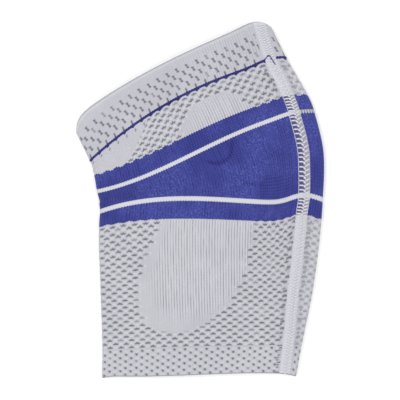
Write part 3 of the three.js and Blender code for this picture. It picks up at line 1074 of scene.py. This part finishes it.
GREY = {
    "yarn": GREY_YARN, "shadow": GREY_SHADOW, "groove": GREY_GROOVE_SHADE, "light": LOOP_HIGHLIGHT_AND_FLECK, "mark": EYELET_SHADE,
    "ribs": 0.12, "courses": 0.12, "flecks": 0.35,
}
BLUE = {
    "yarn": BLUE_YARN, "shadow": BLUE_SHADOW, "groove": BLUE_DEEP_SHADE, "light": BLUE_LIGHT, "mark": BLUE_DEEP_SHADE,
    "ribs": 0.7, "courses": 0.5, "flecks": 0.7,
}
LINE = {**BLUE, "yarn": LINE_BLUE, "shadow": BLUE_DEEP_SHADE, "ribs": 0.5, "flecks": 0.3}
WHITE = {**GREY, "yarn": WHITE_YARN, "shadow": GREY_YARN, "light": WHITE_YARN}
grey_knit = knit_finish("grey_knit", GREY, 0.5)
blue_knit = knit_finish("blue_knit", BLUE, 0.6)
line_knit = knit_finish("blue_line_knit", LINE, 0.6)
white_knit = knit_finish("white_knit", WHITE, 0.4)
print("knit materials:", [m.name for m in (grey_knit, blue_knit, line_knit, white_knit)])

# %% The seam's materials
RIDGE_WHITE = yarn(220, 219, 227)
RIDGE_BLUE = yarn(84, 82, 130)


def ridge_finish():
    """The ridge shows the knit's own yarn between the stitches: blue in the band, else off-white."""
    finish = Finish("seam_ridge_knit")
    fuzz = finish.noise(finish.place(), 700.0, 3.0)
    colour = finish.blend(finish.field("blue"), RIDGE_WHITE, RIDGE_BLUE)
    return finish.close(finish.shade(colour, fuzz * 0.3 + 0.84), 0.9, fuzz, 0.3 * MM, 0.2)


def thread_finish(name, colour):
    """Spun thread: fine fuzz over a slightly shaded yarn."""
    finish = Finish(name)
    fuzz = finish.noise(finish.place(), 1400.0, 2.0)
    return finish.close(finish.shade(colour, fuzz * 0.25 + 0.86), 0.8, fuzz, 0.15 * MM, 0.2)


white_thread = thread_finish("seam_thread", SEAM_WHITE)
blue_thread = thread_finish("blue_thread", LINE_BLUE)
print("seam materials:", white_thread.name, blue_thread.name)

# %% [markdown]
# ## Fastening the pieces to the frame
#
# Every piece rides on the one body and gets its material; most zones pick theirs through a table of slots.
# The zones and the ridge also stand in for a node of the frame, which is hidden; the threads are extra.

# %% Ride, replace and pick a material
SLOT_OF = {"knee_band": "blue_knit", "cuff_line": "blue_knit", "stripe": "white_knit"}
MATERIAL_OF = {"blue_knit": blue_knit, "white_knit": white_knit, "grey_knit": grey_knit}


def fasten(piece, material):
    """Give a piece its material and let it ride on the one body."""
    piece.data.materials.append(material)
    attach(piece, "root")


for zone, piece in knit.items():
    slot = next((slot for start, slot in SLOT_OF.items() if zone.startswith(start)), "grey_knit")
    fasten(piece, line_knit if zone == "cuff_line" else MATERIAL_OF[slot])
    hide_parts(zone)
fasten(ridge, ridge_finish())
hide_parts("side_seam")
for piece in (left_rungs, right_rungs, chain, edges):
    fasten(piece, white_thread)
fasten(tail, blue_thread)
print("pieces:", len(knit) + 6)

# %% [markdown]
# ## Stage, light and camera
#
# The photograph looks straight down on a white table in even light. A large soft lamp on either side and
# a bright sky give that light, and a long lens from three metres up has almost no perspective.

# %% The stage
PHOTO_WIDTH = 400 * 280 / 357 * MM
CAMERA_HEIGHT = 3.0
SENSOR = 36.0
FLOOR_SIZE = 6.0
FLOOR_WHITE = (0.92, 0.92, 0.92, 1)
SKY = 0.9
LAMPS = (
    {"name": "key", "place": (-1.3, 0.3, 2.0), "size": 1.2, "power": 29},
    {"name": "fill", "place": (1.4, -0.5, 2.0), "size": 1.6, "power": 24},
)


def floor():
    """A square of matt white under the sleeve."""
    half = FLOOR_SIZE / 2 / MM
    points = np.array([[-half, -half, 0], [half, -half, 0], [half, half, 0], [-half, half, 0]], dtype=float)
    piece = make_mesh("floor", points - SHIFT, np.array([[0, 1, 2, 3]]))
    finish = Finish("floor_white")
    surface = finish.add("BsdfPrincipled", {}, {"Base Color": FLOOR_WHITE, "Roughness": 0.9})
    finish.add("OutputMaterial", {}, {"Surface": surface})
    piece.data.materials.append(finish.material)
    return piece


def lamp(name, place, size, power):
    """A square area light that looks at the origin."""
    light = bpy.data.lights.new(name, "AREA")
    light.size = size
    light.energy = power
    holder = bpy.data.objects.new(name, light)
    bpy.context.scene.collection.objects.link(holder)
    holder.location = place
    holder.rotation_euler = (-holder.location).to_track_quat("-Z", "Y").to_euler()


def sky(strength):
    """Even white light from all round."""
    world = bpy.data.worlds.new("studio")
    world.use_nodes = True
    world.node_tree.nodes["Background"].inputs["Color"].default_value = (1, 1, 1, 1)
    world.node_tree.nodes["Background"].inputs["Strength"].default_value = strength
    bpy.context.scene.world = world


def camera():
    """A long lens straight down, as wide as the photograph at the height of the knit."""
    lens = bpy.data.cameras.new("camera")
    lens.sensor_width = SENSOR
    lens.lens = SENSOR * (CAMERA_HEIGHT - KNEE_HEIGHT / 2 * MM) / PHOTO_WIDTH
    holder = bpy.data.objects.new("camera", lens)
    bpy.context.scene.collection.objects.link(holder)
    holder.location = (0, 0, CAMERA_HEIGHT)
    bpy.context.scene.camera = holder
    print("lens:", round(lens.lens), "mm")


floor()
for settings in LAMPS:
    lamp(**settings)
sky(SKY)
camera()
bpy.context.scene.view_settings.view_transform = "Standard"
